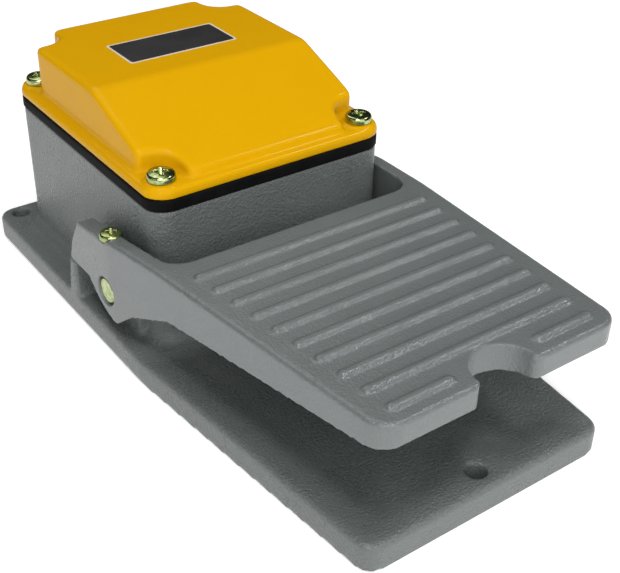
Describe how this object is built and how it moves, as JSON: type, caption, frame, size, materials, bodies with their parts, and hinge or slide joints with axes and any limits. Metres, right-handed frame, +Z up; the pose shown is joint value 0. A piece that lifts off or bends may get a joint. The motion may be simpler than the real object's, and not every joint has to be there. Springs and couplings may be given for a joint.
{
  "type": "industrial foot switch",
  "caption": "Heavy-duty foot switch: hinged ribbed treadle over a cast base, with a gasketed cast housing and a domed cover that shelter a snap-action switch.",
  "frame": {"origin": "middle of the base plate's footprint, on the surface the plate stands on", "axes": "+Z up, +X to the user's right, -Y towards the free end of the treadle where the foot enters, +Y towards the housing and its rear cable inlet"},
  "size_m": [0.1184, 0.24, 0.0894],
  "materials": {
    "grey_enamel": "hammered grey enamel on an aluminium casting",
    "grey_enamel_fine": "smooth grey enamel on an aluminium casting",
    "yellow_enamel": "gloss yellow enamel on an aluminium casting",
    "black_rubber": "matt black rubber",
    "zinc_plate": "yellow passivated zinc",
    "bronze": "sintered bronze",
    "steel": "bright zinc",
    "fibre_sheet": "fibre sheet",
    "phenolic": "dark moulded phenolic",
    "red_plastic": "moulded",
    "brass": "plain"
  },
  "bodies": {
    "base": {"base_casting": "grey_enamel", "gasket": "black_rubber", "cover": "yellow_enamel", "cover_screws": "zinc_plate", "shaft_bushes": "bronze", "return_spring": "steel", "switch_bracket": "steel", "bracket_screws": "zinc_plate", "insulation_sheet": "fibre_sheet", "switch_body": "phenolic", "lever_pin": "steel", "switch_terminals": "brass", "terminal_screws": "zinc_plate", "switch_screws": "steel", "switch_nuts": "steel", "earth_screw": "zinc_plate", "earth_washer": "brass"},
    "treadle": {"pedal": "grey_enamel_fine", "pivot_shaft": "zinc_plate", "arm_clamp_screws": "zinc_plate", "actuator_cam": "steel", "cam_set_screw": "steel"},
    "switch_lever": {"switch_lever": "steel"},
    "switch_plunger": {"switch_plunger": "red_plastic"}
  },
  "joints": [
    {"name": "pedal_hinge", "type": "hinge", "parent": "base", "child": "treadle", "pos_m": [0, 0.0177, 0.0263], "axis": [1, 0, 0], "range_deg": [0, 12], "stiffness_Nm_per_rad": 4, "springref_deg": -20.05, "deforming": ["return_spring"]},
    {"name": "lever_hinge", "type": "hinge", "parent": "base", "child": "switch_lever", "pos_m": [0, 0.06, 0.0356], "axis": [1, 0, 0], "range_deg": [-12, 0]},
    {"name": "plunger_slide", "type": "slide", "parent": "base", "child": "switch_plunger", "axis": [0, 0, 1], "range_m": [0, 0.0013]}
  ],
  "couplings": [
    {"joint": "lever_hinge", "follows": "pedal_hinge", "ratio": -0.96},
    {"joint": "plunger_slide", "follows": "pedal_hinge", "m_per_rad": 0.0058}
  ]
}
